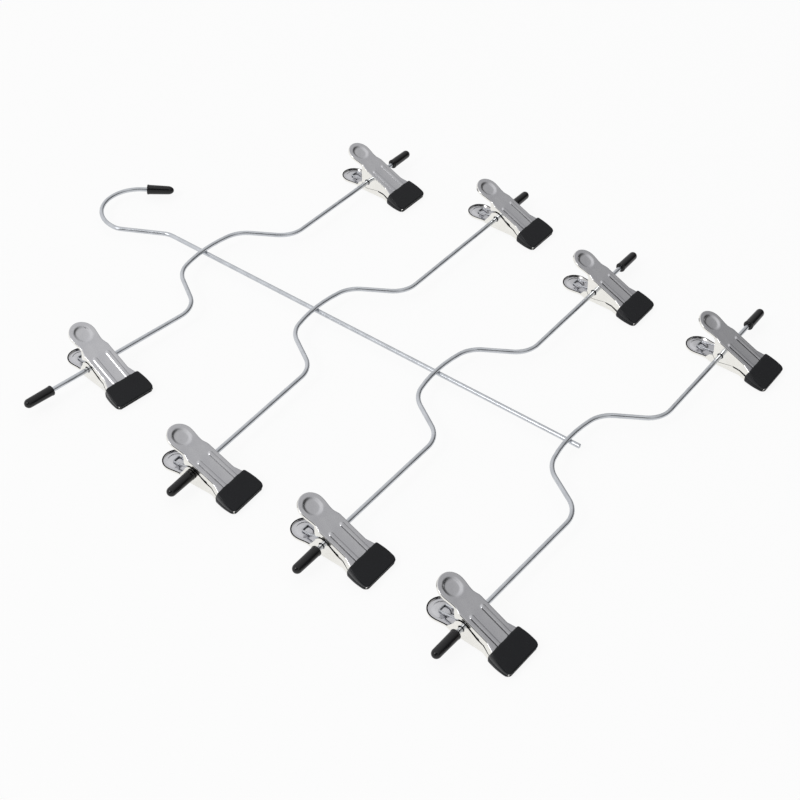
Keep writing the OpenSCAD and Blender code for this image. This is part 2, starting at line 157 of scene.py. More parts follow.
# %% [markdown]
# ## Materials
# One helper adds a node, sets what it is given and links what it is handed. Colours are
# written as the hex values that a designer would pick, and turned to linear light here.


# %% Material helpers
def linear(hex_colour):
    channels = [int(hex_colour[i : i + 2], 16) / 255 for i in (1, 3, 5)]
    light = [c / 12.92 if c <= 0.04045 else ((c + 0.055) / 1.055) ** 2.4 for c in channels]
    return (*light, 1.0)


def add_node(tree, kind, inputs=None, **settings):
    node = tree.nodes.new(kind)
    for name, value in settings.items():
        setattr(node, name, value)
    for name, value in (inputs or {}).items():
        if isinstance(value, bpy.types.NodeSocket):
            tree.links.new(value, node.inputs[name])
        else:
            node.inputs[name].default_value = value
    return node


def start_material(name):
    material = bpy.data.materials.new(name)
    material.use_nodes = True
    tree = material.node_tree
    tree.nodes.clear()
    place = add_node(tree, "ShaderNodeTexCoord").outputs["Object"]
    return material, tree, place


def close_material(tree, surface):
    add_node(tree, "ShaderNodeOutputMaterial", {"Surface": surface})


def ramp(tree, factor, low, high, low_at=0.0, high_at=1.0):
    node = add_node(tree, "ShaderNodeMapRange", {"Value": factor})
    node.inputs["From Min"].default_value = low_at
    node.inputs["From Max"].default_value = high_at
    node.inputs["To Min"].default_value = low
    node.inputs["To Max"].default_value = high
    return node.outputs["Result"]


def mixed_colour(tree, factor, first, second):
    node = add_node(tree, "ShaderNodeMix", {"Factor": factor}, data_type="RGBA")
    # The colour sockets of a Mix node come after its number and vector sockets
    node.inputs[6].default_value = linear(first)
    node.inputs[7].default_value = linear(second)
    return node.outputs[2]


# %% [markdown]
# Every metal here is plated, so one recipe serves them all: a cloud of noise moves the colour
# and the shine a little, and a fine grain bends the light.

# %% Plated metal
CLOUD_SPAN = (0.35, 0.65)
SHINE_SPAN = (0.3, 0.7)


def noise(tree, place, scale, detail):
    node = add_node(tree, "ShaderNodeTexNoise", {"Vector": place, "Scale": scale, "Detail": detail})
    return node.outputs["Fac"]


def bumped(tree, height, strength, distance):
    node = add_node(tree, "ShaderNodeBump", {"Height": height, "Strength": strength, "Distance": distance})
    return node.outputs["Normal"]


def finish_material(material, tree, looks):
    shader = add_node(tree, "ShaderNodeBsdfPrincipled", looks)
    close_material(tree, shader.outputs["BSDF"])
    return material


def metal(name, colours, shine, cloud, bump, grain=None):
    """Cloud, a noise's scale and detail, varies colour and roughness. Grain makes the bump."""
    material, tree, place = start_material(name)
    clouds = noise(tree, place, *cloud)
    share, height = clouds, clouds
    if grain:
        share = ramp(tree, clouds, 0, 1, *CLOUD_SPAN)
        height = noise(tree, place, *grain)
    looks = {
        "Base Color": mixed_colour(tree, share, *colours),
        "Metallic": 1.0,
        "Roughness": ramp(tree, clouds, *shine, *SHINE_SPAN),
        "Normal": bumped(tree, height, *bump),
    }
    return finish_material(material, tree, looks)


# %% [markdown]
# The levers are thin steel pressed in a die and nickel plated in a barrel. The flat faces come
# out satin, a soft mid grey, with the faint cloudiness of barrel plating. The grain is far
# finer than the render shows, so it is drawn at about half a millimetre.

# %% Satin nickel for the faces
SATIN = metal(
    "satin_nickel_plating", ("#C3C3C7", "#CDCDD0"), (0.17, 0.23), (90, 3), (0.04, 0.0002), (2200, 2)
)
print("faces:", SATIN.name)

# %% [markdown]
# The side walls of the same pressing are burnished by the die that bends them, so they come
# out bright and mirror the white floor, with the slightly warm cast of nickel.

# %% Bright nickel for the bent walls
BRIGHT = metal(
    "bright_nickel_plating", ("#EDEBE5", "#F3F2EE"), (0.10, 0.17), (400, 2), (0.015, 0.0002)
)
print("walls:", BRIGHT.name)

# %% [markdown]
# The wire is drawn mild steel, zinc plated and passivated. The plating is cloudy and finely
# grained, so a band of light runs along each wire and fades at its edges.

# %% Zinc plated wire
WIRE_METAL = metal(
    "bright_zinc_wire", ("#BEC1C6", "#CBCED3"), (0.17, 0.25), (150, 4), (0.05, 0.0002), (2600, 2)
)
print("wire:", WIRE_METAL.name)

# %% [markdown]
# A weld between plated wires is made before plating, so it has the wire's own colour. It is
# rougher and a little darker, where the metal flowed and froze. The sheet's cut edges are
# painted near-black, as painted shade for the dark seam, slot and pad outline, and the
# springs are plated steel.

# %% Weld metal, cut edges and spring steel
WELD = metal("plated_weld", ("#8E9094", "#A6A8AB"), (0.35, 0.5), (900, 3), (0.25, 0.0003))
# Near-black metal for the sheet's cut edges: painted shade for the dark lines in the seam and slot
EDGE_PAINTED_SHADE = metal("painted_shade_cut_edge", ("#141416", "#222225"), (0.4, 0.6), (1200, 3), (0.2, 0.0002))
SPRING_STEEL = metal(
    "plated_spring_steel", ("#B4B6BB", "#C6C8CC"), (0.2, 0.3), (500, 3), (0.08, 0.0002)
)
print("other metals:", WELD.name, EDGE_PAINTED_SHADE.name, SPRING_STEEL.name)

# %% [markdown]
# The caps and jaw tips are PVC plastisol: the metal is dipped hot into liquid vinyl, which
# gels on it. The skin is smooth and black with a soft gloss, and has a very slight orange peel.


# %% Dipped vinyl
def dipped_vinyl(name, colours, shine, gloss):
    material, tree, place = start_material(name)
    peel = noise(tree, place, 320, 2)
    smear = noise(tree, place, 120, 4)
    looks = {
        "Base Color": mixed_colour(tree, smear, *colours),
        "Roughness": ramp(tree, smear, *shine, *SHINE_SPAN),
        "IOR": 1.53,
        "Specular IOR Level": gloss,
        "Normal": bumped(tree, peel, 0.12, 0.0003),
    }
    return finish_material(material, tree, looks)


TIP_VINYL = dipped_vinyl("tip_vinyl", ("#1A1B1E", "#212225"), (0.2, 0.3), 0.2)
CAP_VINYL = dipped_vinyl("cap_vinyl", ("#131314", "#19191B"), (0.09, 0.15), 0.33)
print("materials:", len(bpy.data.materials))

# %% [markdown]
# ## Mesh helpers
# Each piece is built as points and faces. A piece is one object that rides on its body and
# stands for its solid, and its edges stay crisp only where the sheet or the wire is cut.


# %% Making a piece
SHARP = 38


def make_mesh(name, points, faces, material_of_face=None, materials=()):
    mesh = bpy.data.meshes.new(name)
    mesh.from_pydata([Vector(p) * MM for p in points], [], faces)
    for material in materials:
        mesh.materials.append(material)
    if material_of_face:
        mesh.polygons.foreach_set("material_index", material_of_face)
    mesh.validate()
    return mesh


def finish_mesh(mesh):
    work = bmesh.new()
    work.from_mesh(mesh)
    bmesh.ops.remove_doubles(work, verts=work.verts, dist=1e-6)
    bmesh.ops.recalc_face_normals(work, faces=work.faces)
    work.to_mesh(mesh)
    work.free()
    mesh.polygons.foreach_set("use_smooth", [True] * len(mesh.polygons))
    mesh.set_sharp_from_angle(angle=radians(SHARP))
    return mesh


def place_piece(name, mesh, body, node, matrix=None):
    piece = bpy.data.objects.new(name, mesh)
    bpy.context.scene.collection.objects.link(piece)
    if matrix is not None:
        piece.matrix_world = matrix
    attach(piece, body)
    if node:
        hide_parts(node)
    return piece


def applied(mesh, *modifiers):
    """A copy of a mesh with modifiers applied, each given as a kind and its settings."""
    carrier = bpy.data.objects.new("carrier", mesh)
    bpy.context.scene.collection.objects.link(carrier)
    for kind, settings in modifiers:
        modifier = carrier.modifiers.new(kind.lower(), kind)
        for key, value in settings.items():
            setattr(modifier, key, value)
    bpy.context.view_layer.update()
    shape = carrier.evaluated_get(bpy.context.evaluated_depsgraph_get())
    result = bpy.data.meshes.new_from_object(shape)
    bpy.data.objects.remove(carrier)
    return result


# %% [markdown]
# ## Wire
# A bent wire is a path of straights and arcs with a round section. A turtle walks the path:
# it goes forward, or turns on an arc, and leaves a point every few degrees.


# %% Walking a wire's path
ARC_STEP = 4


def walk(steps, start=(0, 0), heading=0):
    x, y = start
    path = [(x, y)]
    for step in steps:
        if len(step) == 1:
            x += step[0] * cos(radians(heading))
            y += step[0] * sin(radians(heading))
            path.append((x, y))
            continue
        radius, turn = step
        count = max(3, round(abs(turn) / ARC_STEP))
        side = math.copysign(1, turn)
        from_centre = side * radius
        across, along = from_centre * sin(radians(heading)), from_centre * cos(radians(heading))
        centre = (x - across, y + along)
        for k in range(1, count + 1):
            a = radians(heading + turn * k / count)
            x = centre[0] + from_centre * sin(a)
            y = centre[1] - from_centre * cos(a)
            path.append((x, y))
        heading += turn
    return path, heading


def hump(lean):
    crest = [(BEND_LAP,), (CREST_R, -CREST_TURN), (BEND_LAP,)]
    return crest + [(INNER_R, CREST_TURN - SLANT_TURN), (SLANT,), (OUTER_R, SLANT_TURN + lean)]


# %% [markdown]
# A tube follows a path with rings that are carried along without twisting. Its cut ends get a
# small round, as a cropped and tumbled wire has.


# %% Sweeping a tube
def tube(path, diameter, ring=16, end_round=0.25):
    path = [Vector(p) for p in path]
    radius = diameter / 2
    last = len(path) - 1
    ahead = [(path[min(i + 1, last)] - path[max(i - 1, 0)]).normalized() for i in range(last + 1)]
    upward = Vector((0, 0, 1)) if abs(ahead[0].z) < 0.9 else Vector((1, 0, 0))
    stations = []
    for i, centre in enumerate(path):
        upward = (upward - upward.dot(ahead[i]) * ahead[i]).normalized()
        stations.append((centre, upward.copy(), ahead[i].cross(upward), radius))
    rounded = []
    for centre, u, v, r in stations[:1]:
        rounded += [(centre, u, v, r - end_round), (centre + ahead[0] * end_round, u, v, r)]
    rounded += stations[1:-1]
    for centre, u, v, r in stations[-1:]:
        rounded += [(centre - ahead[-1] * end_round, u, v, r), (centre, u, v, r - end_round)]
    points, faces = [], []
    for centre, u, v, r in rounded:
        for k in range(ring):
            a = 2 * pi * k / ring
            points.append(centre + u * (r * cos(a)) + v * (r * sin(a)))
    for i in range(len(rounded) - 1):
        for k in range(ring):
            a, b = i * ring + k, i * ring + (k + 1) % ring
            faces.append((a, b, b + ring, a + ring))
    faces.append(tuple(range(ring))[::-1])
    faces.append(tuple((len(rounded) - 1) * ring + k for k in range(ring)))
    return points, faces


# %% Spine, hook and bars
def wire_piece(node, path, z):
    points, faces = tube([(p[0], p[1], z / MM) for p in path], WIRE)
    mesh = finish_mesh(make_mesh(node + "_mesh", points, faces, None, [WIRE_METAL]))
    return place_piece(node.replace("_", "-"), mesh, "frame", node)


spine_x_mm = spine_x / MM
spine_start = (spine_x_mm, spine_low.y / MM)
spine_steps = [
    (SPINE_TAIL + 3 * BAR_PITCH + HOOK_RISE,),
    (HOOK_OUT_R, HOOK_OUT_TURN),
    (HOOK_SLANT,),
    (HOOK_IN_R, -HOOK_IN_TURN),
    (BEND_LAP,),
    (HOOK_R, -HOOK_TURN),
    (HOOK_END,),
]
spine_path, hook_heading = walk(spine_steps, spine_start, 90)
wire_piece("spine_wire", spine_path, spine_z)

arm_begin = walk(hump(0))[0][-1][0]
ARM = BAR_SPAN / 2 - CAP_END_WALL - arm_begin


def lean_of(n, name):
    return LEFT_LEANS[n] if name == "left" else 0


def half_bar(n, name):
    lean = lean_of(n, name)
    steps = hump(lean) + [(ARM - OUTER_R * radians(lean),)]
    path, heading = walk(steps)
    return [(SIDES[name] * x, y) for x, y in path], heading


for n in range(1, 5):
    left, right = half_bar(n, "left")[0], half_bar(n, "right")[0]
    whole = left[:0:-1] + right[1:]
    wire_piece(f"cross_bar_{n}", [(spine_x_mm + x, crest_y[n] / MM + y) for x, y in whole], bar_z)
print("wires:", 5, "hook heading:", round(hook_heading, 1))

# %% [markdown]
# Where a bar crosses the spine, the two wires were pressed together hot. The metal squeezed
# out leaves a small fillet in the corners, made here as a low lump that hugs both wires.

# %% Weld lumps
WELD_LONG, WELD_WIDE, WELD_HIGH = 3.4, 2.9, 1.5


def weld_lump(name, centre):
    work = bmesh.new()
    bmesh.ops.create_icosphere(work, subdivisions=3, radius=1)
    for v in work.verts:
        ripple = 1 + 0.05 * sin(5 * v.co.x + 3 * v.co.y) * cos(4 * v.co.z)
        half = Vector((v.co.x * WELD_LONG / 2, v.co.y * WELD_WIDE / 2, v.co.z * WELD_HIGH / 2))
        v.co = half * ripple * MM
    mesh = bpy.data.meshes.new(name)
    work.to_mesh(mesh)
    work.free()
    mesh.materials.append(WELD)
    mesh.polygons.foreach_set("use_smooth", [True] * len(mesh.polygons))
    place_piece(name, mesh, "frame", None, Matrix.Translation(centre))


for n in range(1, 5):
    weld_lump(f"weld-{n}", Vector((spine_x, crest_y[n], (bar_z + spine_z) / 2)))
print("welds:", 4)

# %% [markdown]
# ## Caps
# A dipped cap is a turned shape: its rolled open rim, a body that thins toward the nose, and
# a rounded nose. It is a profile spun round the wire, open at the rim where the wire goes in.


# %% Spinning a cap
CAP = {"length": 20.5, "rim": 6.9, "body": 6.5, "nose": 6.1, "nose_len": 3.2}
HOOK_CAP = {"length": 19.4, "rim": 7.4, "body": 7.0, "nose": 6.2, "nose_len": 4.4}
CAP_RIM_LEN = 1.2
CAP_MOUTH = 0.35
CAP_PLAY = 0.05
CAP_AROUND = 32


def cap_mesh(name, size):
    bore = WIRE / 2 + CAP_PLAY
    profile = [(bore, size["length"] - CAP_END_WALL), (bore, CAP_MOUTH)]
    bulge = (size["rim"] - size["body"]) / 2
    for a in (30, 60, 90):
        wider, deeper = CAP_MOUTH * (1 - cos(radians(a))), CAP_MOUTH * (1 - sin(radians(a)))
        profile.append((bore + wider, deeper))
    for a in range(180, -1, -20):
        profile.append((size["body"] / 2 + bulge * sin(radians(a)), CAP_RIM_LEN * (1 + cos(radians(a))) / 2))
    for share in (0.3, 0.6):
        body_at = CAP_RIM_LEN + (size["length"] - size["nose_len"] - CAP_RIM_LEN) * share
        profile.append(((size["body"] + (size["nose"] - size["body"]) * share) / 2, body_at))
    for a in range(0, 91, 10):
        nose_at = size["length"] - size["nose_len"] * (1 - sin(radians(a)))
        profile.append((size["nose"] / 2 * cos(radians(a)), nose_at))
    points, faces = [], []
    for r, x in profile:
        for k in range(CAP_AROUND):
            a = 2 * pi * k / CAP_AROUND
            points.append((x, max(r, 0) * cos(a), max(r, 0) * sin(a)))
    rows = len(profile)
    for i in range(rows - 1):
        for k in range(CAP_AROUND):
            a, b = i * CAP_AROUND + k, i * CAP_AROUND + (k + 1) % CAP_AROUND
            faces.append((a, b, b + CAP_AROUND, a + CAP_AROUND))
    faces.append(tuple(range(CAP_AROUND)))
    return finish_mesh(make_mesh(name, points, faces, None, [CAP_VINYL]))


bar_cap = cap_mesh("bar_cap_mesh", CAP)
hook_cap_mesh = cap_mesh("hook_cap_mesh", HOOK_CAP)


def cap_matrix(tip, heading):
    return Matrix.Translation(tip) @ Matrix.Rotation(radians(heading), 4, "Z")


for n in range(1, 5):
    for name, sign in SIDES.items():
        node = f"end_cap_{n}_{name}"
        lean = lean_of(n, name)
        heading = lean if sign > 0 else 180 - lean
        path, _ = half_bar(n, name)
        along = Vector((cos(radians(heading)), sin(radians(heading)), 0))
        end = Vector((spine_x + path[-1][0] * MM, crest_y[n] + path[-1][1] * MM, bar_z))
        slip = SECOND_RIGHT_SLIP if (n, name) == (2, "right") else 0
        rim = end + along * (CAP_END_WALL - CAP["length"] + slip) * MM
        matrix = cap_matrix(rim, heading)
        place_piece(node.replace("_", "-"), bar_cap, "frame", node, matrix)

hook_end = Vector((spine_path[-1][0] * MM, spine_path[-1][1] * MM, spine_z))
hook_along = Vector((cos(radians(hook_heading)), sin(radians(hook_heading)), 0))
hook_rim = hook_end + hook_along * (CAP_END_WALL - HOOK_CAP["length"]) * MM
hook_matrix = cap_matrix(hook_rim, hook_heading)
place_piece("hook-cap", hook_cap_mesh, "frame", "hook_cap", hook_matrix)
print("caps:", 9)

# %% [markdown]
# ## Levers
# A lever is one pressed sheet: a long face with a round pad, and walls bent down all round it.
# It is built as the outer skin of the sheet, station by station round its outline: across the
# face, round the bend, and down the wall to its cut edge. A Solidify modifier then gives the
# sheet its thickness.


# %% A lever's outline
def eased(share):
    return (1 - cos(pi * share)) / 2


def between(at, start, end):
    return (at - start) / (end - start)


def lever_half(at):
    if at > PAD_REACH:
        return sqrt(max(PAD_R**2 - (at - PAD_REACH) ** 2, 0))
    if at > WAIST_REACH:
        return WAIST_HALF + (PAD_R - WAIST_HALF) * eased(between(at, WAIST_REACH, PAD_REACH))
    if at > BODY_FRONT:
        return WAIST_HALF + (BODY_HALF - WAIST_HALF) * eased(between(at, WAIST_REACH, BODY_FRONT))
    if at > -BODY_BACK:
        return BODY_HALF
    if at > -TIP_REACH:
        return BODY_HALF + (FLARE_HALF - BODY_HALF) * between(at, -BODY_BACK, -TIP_REACH)
    return FLARE_HALF + (JAW_HALF - FLARE_HALF) * between(at, -TIP_REACH, -JAW)


def spread(start, end, count):
    return [start + (end - start) * k / count for k in range(count)]


# The stations lie close together where a wall's edge turns
STATIONS = (
    spread(-JAW, -TIP_REACH - 4.5, 4)
    + spread(-TIP_REACH - 4.5, -BODY_BACK, 12)
    + spread(-BODY_BACK, -12.4, 4)
    + spread(-12.4, -9.6, 10)
    + spread(-9.6, -0.6, 15)
    + spread(-0.6, 2.2, 8)
    + spread(2.2, 4.4, 5)
    + [4.4, 4.7, 4.95, 5.12, 5.3, 5.56, 5.9, 6.5, 7.1, 7.8, 8.5, 9.2, 9.8, SHOULDER_REACH, 10.7]
    + spread(11.2, PAD_REACH, 14)
    + [PAD_REACH + PAD_R * sin(radians(a)) for a in range(0, 90, 5)]
)


def outline_point(i, drawn_in):
    """A point of the right half of the outline, moved inward along its normal."""
    at = STATIONS[i]
    half = lever_half(at)
    if at >= PAD_REACH:
        a = asin(min((at - PAD_REACH) / PAD_R, 1))
        return ((PAD_R - drawn_in) * cos(a), PAD_REACH + (PAD_R - drawn_in) * sin(a))
    step = 0.05
    slope = (lever_half(at + step) - lever_half(at - step)) / (2 * step) if abs(at + JAW) > step else 0
    out = Vector((1, -slope)).normalized()
    return (half - drawn_in * out.x, at - drawn_in * out.y)


# %% [markdown]
# The face has two pressed ribs that run under the tip, and a round dimple for the finger.
# Both are smooth hills and hollows in the skin, with the height that the die gives them.


# %% A lever's face
RIB_SIDE = [(0, 0.6), (0.9, 0.585), (1.15, 0.56), (1.24, 0.5), (1.58, 0.08), (1.68, 0)]
RIB_UNDER_TIP = 2.4
DISH = 0.2
DIMPLE_EASE = 1.8


def rib_height(away):
    """Height of a rib at a distance from its middle line: nearly flat on top, steep at its sides."""
    for (d0, h0), (d1, h1) in zip(RIB_SIDE, RIB_SIDE[1:]):
        if away <= d1:
            return h0 + (h1 - h0) * (away - d0) / (d1 - d0)
    return 0


def face_height(u, s):
    first = RIB_START - RIB_W / 2
    nearest = min(max(s, -TIP_REACH - RIB_UNDER_TIP), first)
    rib = rib_height(math.hypot(abs(u) - RIB_PLACE, s - nearest))
    from_dimple = math.hypot(u, s - PAD_REACH)
    hollow = min(max((DIMPLE_R - from_dimple) / DIMPLE_EASE, 0), 1)
    bottom = DIMPLE_DEPTH * (1 - DISH * min(from_dimple / DIMPLE_R, 1) ** 2)
    return FACE + rib - bottom * hollow * hollow * (3 - 2 * hollow)


RIB_COLUMNS = [0, 1.2, 2.4, 3.0, 3.32, 3.42, 3.76, 3.85, 4.1, 5.0, 5.9, 6.15, 6.24, 6.58, 6.68, 6.95]
COLUMN_ROOM = 0.93
EDGE_COLUMNS = 3


def columns(half):
    """Places across the face, from its middle to its bend, denser at a rib's feet."""
    inner_limit = min(RIB_COLUMNS[-1], half * COLUMN_ROOM)
    places = [place * inner_limit / RIB_COLUMNS[-1] for place in RIB_COLUMNS]
    steps = range(1, EDGE_COLUMNS + 1)
    return places + [inner_limit + (half - inner_limit) * k / EDGE_COLUMNS for k in steps]


# %% [markdown]
# The two levers differ in their walls. One has walls that reach past the middle as outer ears
# that the bar goes through. The other's walls end at those ears, along a slanted seam.


# %% A wall's lower edge
SEAM_OPEN = 1.1
SLOT_OPEN = 0.95
NOTCH = 0.8
PAST_PAD = 60


def turned(point, angle):
    a = radians(angle)
    return (point[0] * cos(a) - point[1] * sin(a), point[0] * sin(a) + point[1] * cos(a))


def touch(point, radius, side):
    return degrees(atan2(point[1], point[0])) + side * degrees(acos(radius / math.hypot(*point)))


def ear_arc(radius, start, end, steps):
    angles = spread(start, end, steps) + [end]
    return [(radius * cos(radians(a)), radius * sin(radians(a))) for a in angles]


def edge_line(ears, closed):
    """Points of a wall's edge, as distance along the lever and height off the bar's axis."""
    rim = FACE - RIM_DEPTH
    shoulder = [SHOULDER_CORNER, (SHOULDER_REACH, rim), (PAST_PAD, rim)]
    tip_edge = turned((-TIP_REACH / cos(radians(TILT)), TIP_INNER), -TILT)
    jaw_edge = turned((-JAW / cos(radians(TILT)) - 1, TIP_INNER), -TILT)
    if ears == "inner":
        opening = 0 if closed else SEAM_OPEN
        reach = EAR_R + EAR_GAP + opening
        kink = turned((-SEAM_REACH, SEAM_RISE + EAR_GAP + opening), -TILT)
        start = touch(turned(kink, TILT), reach, -1) - TILT
        arc = ear_arc(reach, start, SHOULDER_TURN, 20)
        notch = [(-1.5, -0.1), (-0.5, NOTCH), (0.2, NOTCH), (1.0, 0.7)]
        if closed:
            # Here the slot ends in a round notch and the walls meet from there to the ear
            jaw_edge, tip_edge = ((s, n + SLOT_OPEN) for s, n in (jaw_edge, tip_edge))
            notch = [(-0.6, NOTCH), (0.1, 0.6), (0.3, 0)]
        notch = [(kink[0] + s, kink[1] + n) for s, n in notch]
        return [jaw_edge, tip_edge] + notch + arc + shoulder
    kink = (-SEAM_REACH, -SEAM_RISE)
    arc = ear_arc(EAR_R, touch(kink, EAR_R, 1) - TILT, NECK_TURN, 24)
    return [jaw_edge, tip_edge, turned(kink, -TILT)] + arc + shoulder


def edge_height(line, at):
    for (x0, y0), (x1, y1) in zip(line, line[1:]):
        if x0 <= at <= x1 and x1 > x0:
            return y0 + (y1 - y0) * (at - x0) / (x1 - x0)
    return line[-1][1]


# %% [markdown]
# The skin is stitched from strips: right wall, right bend, face, left bend, left wall. The
# face gets the satin plating and everything from the middle of the bend down gets the bright one.


# %% Building a lever's skin
BEND_R = 0.6
BEND_STEPS = 4
WALL_STEPS = 3


def half_section(i, line):
    """Right half of a station's section, from the face's middle to the wall's edge."""
    inner = outline_point(i, BEND_R)
    section = [(u, inner[1], face_height(u, inner[1])) for u in columns(inner[0])]
    for k in range(1, BEND_STEPS + 1):
        a = pi / 2 * k / BEND_STEPS
        x, y = outline_point(i, BEND_R * (1 - sin(a)))
        section.append((x, y, FACE - BEND_R * (1 - cos(a))))
    x, y = outline_point(i, 0)
    low = min(edge_height(line, y), FACE - BEND_R - 0.1)
    for k in range(1, WALL_STEPS + 1):
        section.append((x, y, FACE - BEND_R + (low - FACE + BEND_R) * k / WALL_STEPS))
    return section


def lever_skin(name, ears, closed):
    line = edge_line(ears, closed)
    rows = []
    for i in range(len(STATIONS)):
        right = half_section(i, line)
        left = [(-u, s, n) for u, s, n in right[:0:-1]]
        rows.append(left + right)
    width = len(rows[0])
    points = [p for row in rows for p in row]
    faces, kinds = [], []
    face_half = len(columns(5)) - 1
    middle = width // 2
    for i in range(len(rows) - 1):
        for k in range(width - 1):
            a = i * width + k
            faces.append((a, a + 1, a + width + 1, a + width))
            off = max(abs(k - middle), abs(k + 1 - middle))
            kinds.append(0 if off <= face_half + 2 else 1)
    # The last station wraps round the pad's end
    end_row = (len(rows) - 1) * width
    final = []
    for depth in range(face_half, middle + 1):
        u, s, n = rows[-1][middle + depth]
        reach = math.hypot(u, s - PAD_REACH)
        final.append((0, PAD_REACH + reach, n))
    first_extra = len(points)
    points += final
    for d in range(len(final) - 1):
        right_a, right_b = end_row + middle + face_half + d, end_row + middle + face_half + d + 1
        left_a, left_b = end_row + middle - face_half - d, end_row + middle - face_half - d - 1
        low, high = first_extra + d, first_extra + d + 1
        kind = 0 if face_half + d + 1 <= face_half + 2 else 1
        faces += [(right_a, right_b, high, low), (low, high, left_b, left_a)]
        kinds += [kind, kind]
    cap = [end_row + middle + k for k in range(-face_half, face_half + 1)] + [first_extra]
    faces.append(tuple(cap))
    kinds.append(0)
    return make_mesh(name, points, faces, kinds, [SATIN, BRIGHT, EDGE_PAINTED_SHADE])


# %% [markdown]
# The ears' holes are drilled with a Boolean after the sheet has its thickness, as they would
# be punched through both walls at once.


# %% Thickness and holes
def punch(name, radius, length):
    work = bmesh.new()
    turn = Matrix.Rotation(pi / 2, 4, "Y")
    size = {"radius1": radius * MM, "radius2": radius * MM, "depth": length * MM}
    bmesh.ops.create_cone(work, cap_ends=True, segments=40, matrix=turn, **size)
    mesh = bpy.data.meshes.new(name)
    work.to_mesh(mesh)
    work.free()
    tool = bpy.data.objects.new(name, mesh)
    bpy.context.scene.collection.objects.link(tool)
    return tool


CLOSED_FROM = -SEAM_REACH + 0.6


def lever_mesh(ears, closed=False):
    skin = lever_skin(ears + "_eared_skin", ears, closed)
    work = bmesh.new()
    work.from_mesh(skin)
    bmesh.ops.recalc_face_normals(work, faces=work.faces)
    face = min(work.faces, key=lambda f: (f.calc_center_median() - Vector((0, 0, FACE * MM))).length)
    if face.normal.z < 0:
        bmesh.ops.reverse_faces(work, faces=work.faces)
    work.to_mesh(skin)
    work.free()
    # The rim faces take the third material, the cut edges' near-black painted shade
    sheet = {"thickness": SHEET * MM, "offset": -1, "material_offset_rim": 1}
    sheet.update({"use_even_offset": True, "use_quality_normals": True})
    solid = applied(skin, ("SOLIDIFY", sheet))
    if closed:
        # At the ear the closed lever's cut edge goes back to bright, so only its slot keeps the painted
        # shade
        for polygon in solid.polygons:
            at_ear = CLOSED_FROM < polygon.center.y / MM < SHOULDER_REACH
            if at_ear and polygon.material_index == 2:
                polygon.material_index = 1
    if ears == "inner":
        return joined(solid, inner_ears_mesh())
    tool = punch("ear_punch", EAR_HOLE / 2, 4 * BODY_HALF)
    cut = {"operation": "DIFFERENCE", "object": tool, "solver": "EXACT"}
    drilled = applied(solid, ("BOOLEAN", cut))
    bpy.data.objects.remove(tool)
    return drilled


# %% [markdown]
# The inner ears run inside the outer ones, so a pinch on the pads turns one lever inside the
# other. Each is a small flat tongue with a round end and a hole. Three of the right clips are
# threaded the other way up, so there the front lever has the outer ears.


# %% Inner ears
def inner_ear(points, faces, kinds, side):
    outer = []
    around = 24
    for k in range(around + 1):
        a = radians(180 + 180 * k / around)
        outer.append((INNER_EAR_R * cos(a), INNER_EAR_R * sin(a)))
    top = INNER_FACE + 0.1
    outer += [(INNER_EAR_R, top * k / 4) for k in range(1, 5)]
    outer += [(INNER_EAR_R - 2 * INNER_EAR_R * k / 8, top) for k in range(1, 9)]
    outer += [(-INNER_EAR_R, top * (1 - k / 4)) for k in range(1, 4)]
    count = len(outer)
    near = BODY_HALF - SHEET - EAR_GAP
    rings = []
    for u in (side * near, side * (near - SHEET)):
        for radius_share in (1, 0):
            ring = []
            for s, n in outer:
                if not radius_share:
                    a = atan2(n, s)
                    s, n = EAR_HOLE / 2 * cos(a), EAR_HOLE / 2 * sin(a)
                ring.append(len(points))
                points.append((u, s, n))
            rings.append(ring)
    for first, second in ((0, 1), (1, 3), (3, 2), (2, 0)):
        for k in range(count):
            after = (k + 1) % count
            faces.append((rings[first][k], rings[first][after], rings[second][after], rings[second][k]))
            kinds.append(1)


def inner_ears_mesh():
    points, faces, kinds = [], [], []
    for side in (-1, 1):
        inner_ear(points, faces, kinds, side)
    return make_mesh("inner_ears", points, faces, kinds, [SATIN, BRIGHT, EDGE_PAINTED_SHADE])


def in_clip(mesh, which):
    """Turns a mesh from a lever's own frame into the clip's, with X along the bar and Z up."""
    tilt = Matrix.Rotation(radians(TILT), 4, "X")
    if which == "front":
        mesh.transform(tilt @ tilt)
    else:
        mesh.transform(tilt @ Matrix.Scale(-1, 4, Vector((0, 0, 1))) @ tilt)
    return finish_mesh(mesh)


def joined(first, second):
    work = bmesh.new()
    work.from_mesh(first)
    work.from_mesh(second)
    work.to_mesh(first)
    work.free()
    return first


front_lever = in_clip(lever_mesh("inner"), "front")
back_lever = in_clip(lever_mesh("outer"), "back")
turned_front_lever = in_clip(lever_mesh("outer"), "front")
turned_back_lever = in_clip(lever_mesh("inner", closed=True), "back")
print("lever faces:", len(front_lever.polygons), len(back_lever.polygons))

# %% [markdown]
# ## Jaw tips
# A tip is a dipped shoe of black vinyl. Its corners and edges are round, it flares toward the
# jaw's end, and its open edge bulges a little where it passes over the two ribs.


# %% A tip's sections
TIP_TOP_R = 0.9
TIP_FLOOR_R = 2.4
TIP_LOW_R = 0.35
TIP_LIP = 0.4
TIP_BACK_CORNER = 1.1
TIP_WAVE = 0.6
TIP_BOW = 0.75
SECTION_STEPS = 5
TOP_STEPS = 20
LOW_STEPS = 8


def tip_half(at):
    share = between(at, -TIP_REACH, -JAW - TIP_WALL)
    bow = TIP_BOW * sin(pi * share)
    return TIP_BACK_HALF + (TIP_FRONT_HALF - TIP_BACK_HALF) * share + bow


def mid_height(at):
    """Height of the clip's middle plane over the bar's axis, in a lever's frame."""
    return -at * math.tan(radians(TILT)) + JAW_GAP / cos(radians(TILT))


